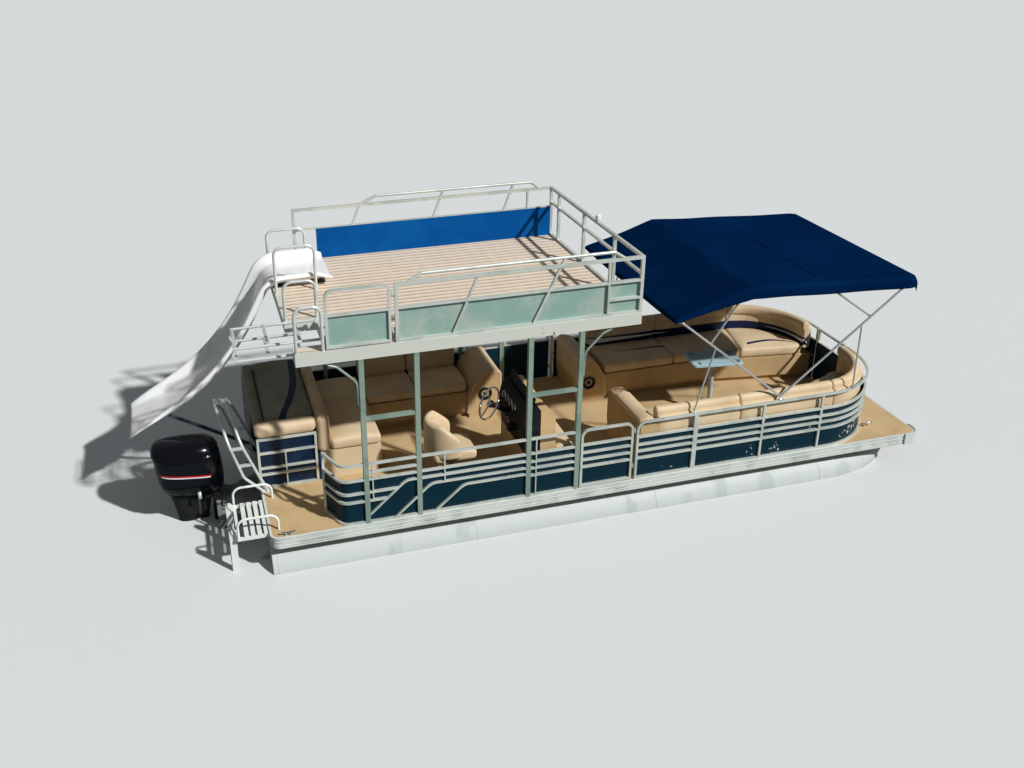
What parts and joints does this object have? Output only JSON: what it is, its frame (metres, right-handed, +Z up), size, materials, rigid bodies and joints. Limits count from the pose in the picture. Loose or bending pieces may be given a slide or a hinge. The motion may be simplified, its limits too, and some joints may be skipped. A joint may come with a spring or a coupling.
{
  "type": "double-deck pontoon boat",
  "caption": "Double-deck pontoon boat with two round floats, rail fences, an upper sun deck with a slide, a folding sun top and an outboard engine.",
  "frame": {"origin": "on the water's surface, on the centreline, half way along the lower deck", "axes": "+X to the bow, +Y to port, +Z up"},
  "size_m": [8.8112, 2.626, 3.726],
  "materials": {
    "float_paint": "white gloss paint",
    "frame_aluminium": "mill",
    "pod_aluminium": "mill",
    "deck_carpet": "tan cut-pile carpet",
    "trim_cream": "satin",
    "rail_aluminium": "satin anodised",
    "panel_navy": "satin paint",
    "upper_carpet": "fine ribbed",
    "panel_aqua": "satin paint",
    "panel_blue": "satin paint",
    "polished_tube": "polished",
    "slide_white": "gloss",
    "support_grey": "satin",
    "white_paint": "satin",
    "pad_vinyl": "fine grain",
    "seat_vinyl": "fine grain",
    "couch_shell": "moulded",
    "table_plastic": "moulded",
    "console_shell": "moulded",
    "wheel_chrome": "polished",
    "engine_black": "satin",
    "cowl_black": "gloss",
    "top_tube": "polished",
    "canopy_fabric": "woven"
  },
  "bodies": {
    "hull": {"starboard_float": "float_paint", "port_float": "float_paint", "deck_frame": "frame_aluminium", "motor_pod": "pod_aluminium", "lower_deck": "deck_carpet", "deck_edge_trim": "trim_cream", "starboard_aft_fence": "rail_aluminium", "port_aft_fence": "rail_aluminium", "starboard_bow_fence": "rail_aluminium", "port_bow_fence": "rail_aluminium", "fence_panels": "panel_navy", "uprights": "rail_aluminium", "upper_deck_frame": "rail_aluminium", "upper_deck_floor": "upper_carpet", "upper_rails": "rail_aluminium", "upper_starboard_panel": "panel_aqua", "upper_port_panel": "panel_blue", "grab_hoops": "polished_tube", "slide": "slide_white", "slide_supports": "support_grey", "boarding_platform": "white_paint", "tow_arch": "polished_tube", "sun_pad_rails": "rail_aluminium", "sun_pad_base": "panel_navy", "sun_pad_cushion": "pad_vinyl", "bench_cushions": "seat_vinyl", "aft_couch": "couch_shell", "aft_couch_cushions": "seat_vinyl", "starboard_couch": "couch_shell", "starboard_couch_cushions": "seat_vinyl", "port_couch": "couch_shell", "port_couch_cushions": "seat_vinyl", "bow_table": "table_plastic", "table_leg": "polished_tube", "helm_console": "console_shell", "helm_pedestal": "polished_tube", "engine_bracket": "engine_black", "sun_top_front_bow": "top_tube", "sun_top_canopy": "canopy_fabric"},
    "starboard_gate": {"starboard_gate": "rail_aluminium", "starboard_gate_panel": "panel_navy"},
    "port_gate": {"port_gate": "rail_aluminium", "port_gate_panel": "panel_navy"},
    "bow_gate": {"bow_gate": "rail_aluminium", "bow_gate_panel": "panel_navy"},
    "upper_gate": {"upper_gate": "rail_aluminium", "upper_gate_panel": "panel_aqua"},
    "upper_ladder": {"upper_ladder": "polished_tube"},
    "ladder_extension": {"ladder_extension": "polished_tube"},
    "boarding_ladder": {"boarding_ladder": "white_paint"},
    "engine_tilt": {"engine_swivel": "engine_black"},
    "engine_steer": {"engine_leg": "engine_black", "engine_cowl": "cowl_black"},
    "propeller": {"propeller": "engine_black"},
    "steering_wheel": {"steering_wheel": "wheel_chrome"},
    "helm_chair": {"helm_chair": "seat_vinyl"},
    "sun_top_aft_bow": {"sun_top_aft_bow": "top_tube"},
    "sun_top_aft_prop": {"sun_top_aft_prop_bow": "top_tube"},
    "sun_top_front_prop": {"sun_top_front_prop_bow": "top_tube"},
    "sun_top_struts": {"sun_top_aft_struts": "top_tube"}
  },
  "joints": [
    {"name": "starboard_gate_hinge", "type": "hinge", "parent": "hull", "child": "starboard_gate", "pos_m": [0.128, -1.265, 0.8], "axis": [0, 0, -1], "range_deg": [0, 95]},
    {"name": "port_gate_hinge", "type": "hinge", "parent": "hull", "child": "port_gate", "pos_m": [0.128, 1.265, 0.8], "axis": [0, 0, 1], "range_deg": [0, 95]},
    {"name": "bow_gate_hinge", "type": "hinge", "parent": "hull", "child": "bow_gate", "pos_m": [3.37, -0.2705, 0.8], "axis": [0, 0, 1], "range_deg": [0, 95]},
    {"name": "upper_gate_hinge", "type": "hinge", "parent": "hull", "child": "upper_gate", "pos_m": [-2.44, -1.257, 2.7], "axis": [0, 0, -1], "range_deg": [0, 95]},
    {"name": "upper_ladder_fold", "type": "hinge", "parent": "hull", "child": "upper_ladder", "pos_m": [-3.086, -0.84, 2.45], "axis": [0, 1, 0], "range_deg": [-75, 0]},
    {"name": "ladder_extension_fold", "type": "hinge", "parent": "upper_ladder", "child": "ladder_extension", "pos_m": [-3.922, -0.84, 2.386], "axis": [0, 1, 0], "range_deg": [0, 180]},
    {"name": "boarding_ladder_fold", "type": "hinge", "parent": "hull", "child": "boarding_ladder", "pos_m": [-4.105, -0.835, 0.475], "axis": [0, 1, 0], "range_deg": [0, 264]},
    {"name": "engine_tilt", "type": "hinge", "parent": "hull", "child": "engine_tilt", "pos_m": [-4.19, 0, 0.33], "axis": [0, 1, 0], "range_deg": [0, 60]},
    {"name": "engine_steer", "type": "hinge", "parent": "engine_tilt", "child": "engine_steer", "pos_m": [-4.35, 0, 0.33], "axis": [0, 0, 1], "range_deg": [-30, 30]},
    {"name": "propeller_spin", "type": "hinge", "parent": "engine_steer", "child": "propeller", "pos_m": [-4.7, 0, -0.43], "axis": [1, 0, 0], "continuous": true},
    {"name": "steering_wheel_turn", "type": "hinge", "parent": "hull", "child": "steering_wheel", "pos_m": [-1.295, -0.65, 1.27], "axis": [0.866, 0, -0.5], "range_deg": [-540, 540]},
    {"name": "helm_chair_swivel", "type": "hinge", "parent": "hull", "child": "helm_chair", "pos_m": [-1.77, -0.77, 0.79], "axis": [0, 0, 1], "continuous": true},
    {"name": "sun_top_fold", "type": "hinge", "parent": "hull", "child": "sun_top_aft_bow", "pos_m": [1.86, 0, 1.18], "axis": [0, 1, 0], "range_deg": [0, 100], "deforming": ["sun_top_canopy"]},
    {"name": "sun_top_aft_prop_fold", "type": "hinge", "parent": "sun_top_aft_bow", "child": "sun_top_aft_prop", "pos_m": [0.993, 0, 1.884], "axis": [0, 1, 0], "range_deg": [-95, 0]},
    {"name": "sun_top_front_prop_fold", "type": "hinge", "parent": "hull", "child": "sun_top_front_prop", "pos_m": [2.896, 0, 1.987], "axis": [0, 1, 0], "range_deg": [0, 103]},
    {"name": "sun_top_strut_fold", "type": "hinge", "parent": "hull", "child": "sun_top_struts", "pos_m": [0.825, 0, 1.172], "axis": [0, 1, 0], "range_deg": [-107.2, 0]}
  ],
  "couplings": [
    {"joint": "engine_steer", "follows": "steering_wheel_turn", "ratio": 0.0555},
    {"joint": "sun_top_aft_prop_fold", "follows": "sun_top_fold", "ratio": -0.946},
    {"joint": "sun_top_front_prop_fold", "follows": "sun_top_fold", "ratio": 1.025},
    {"joint": "sun_top_strut_fold", "follows": "sun_top_fold", "ratio": -1.07}
  ]
}
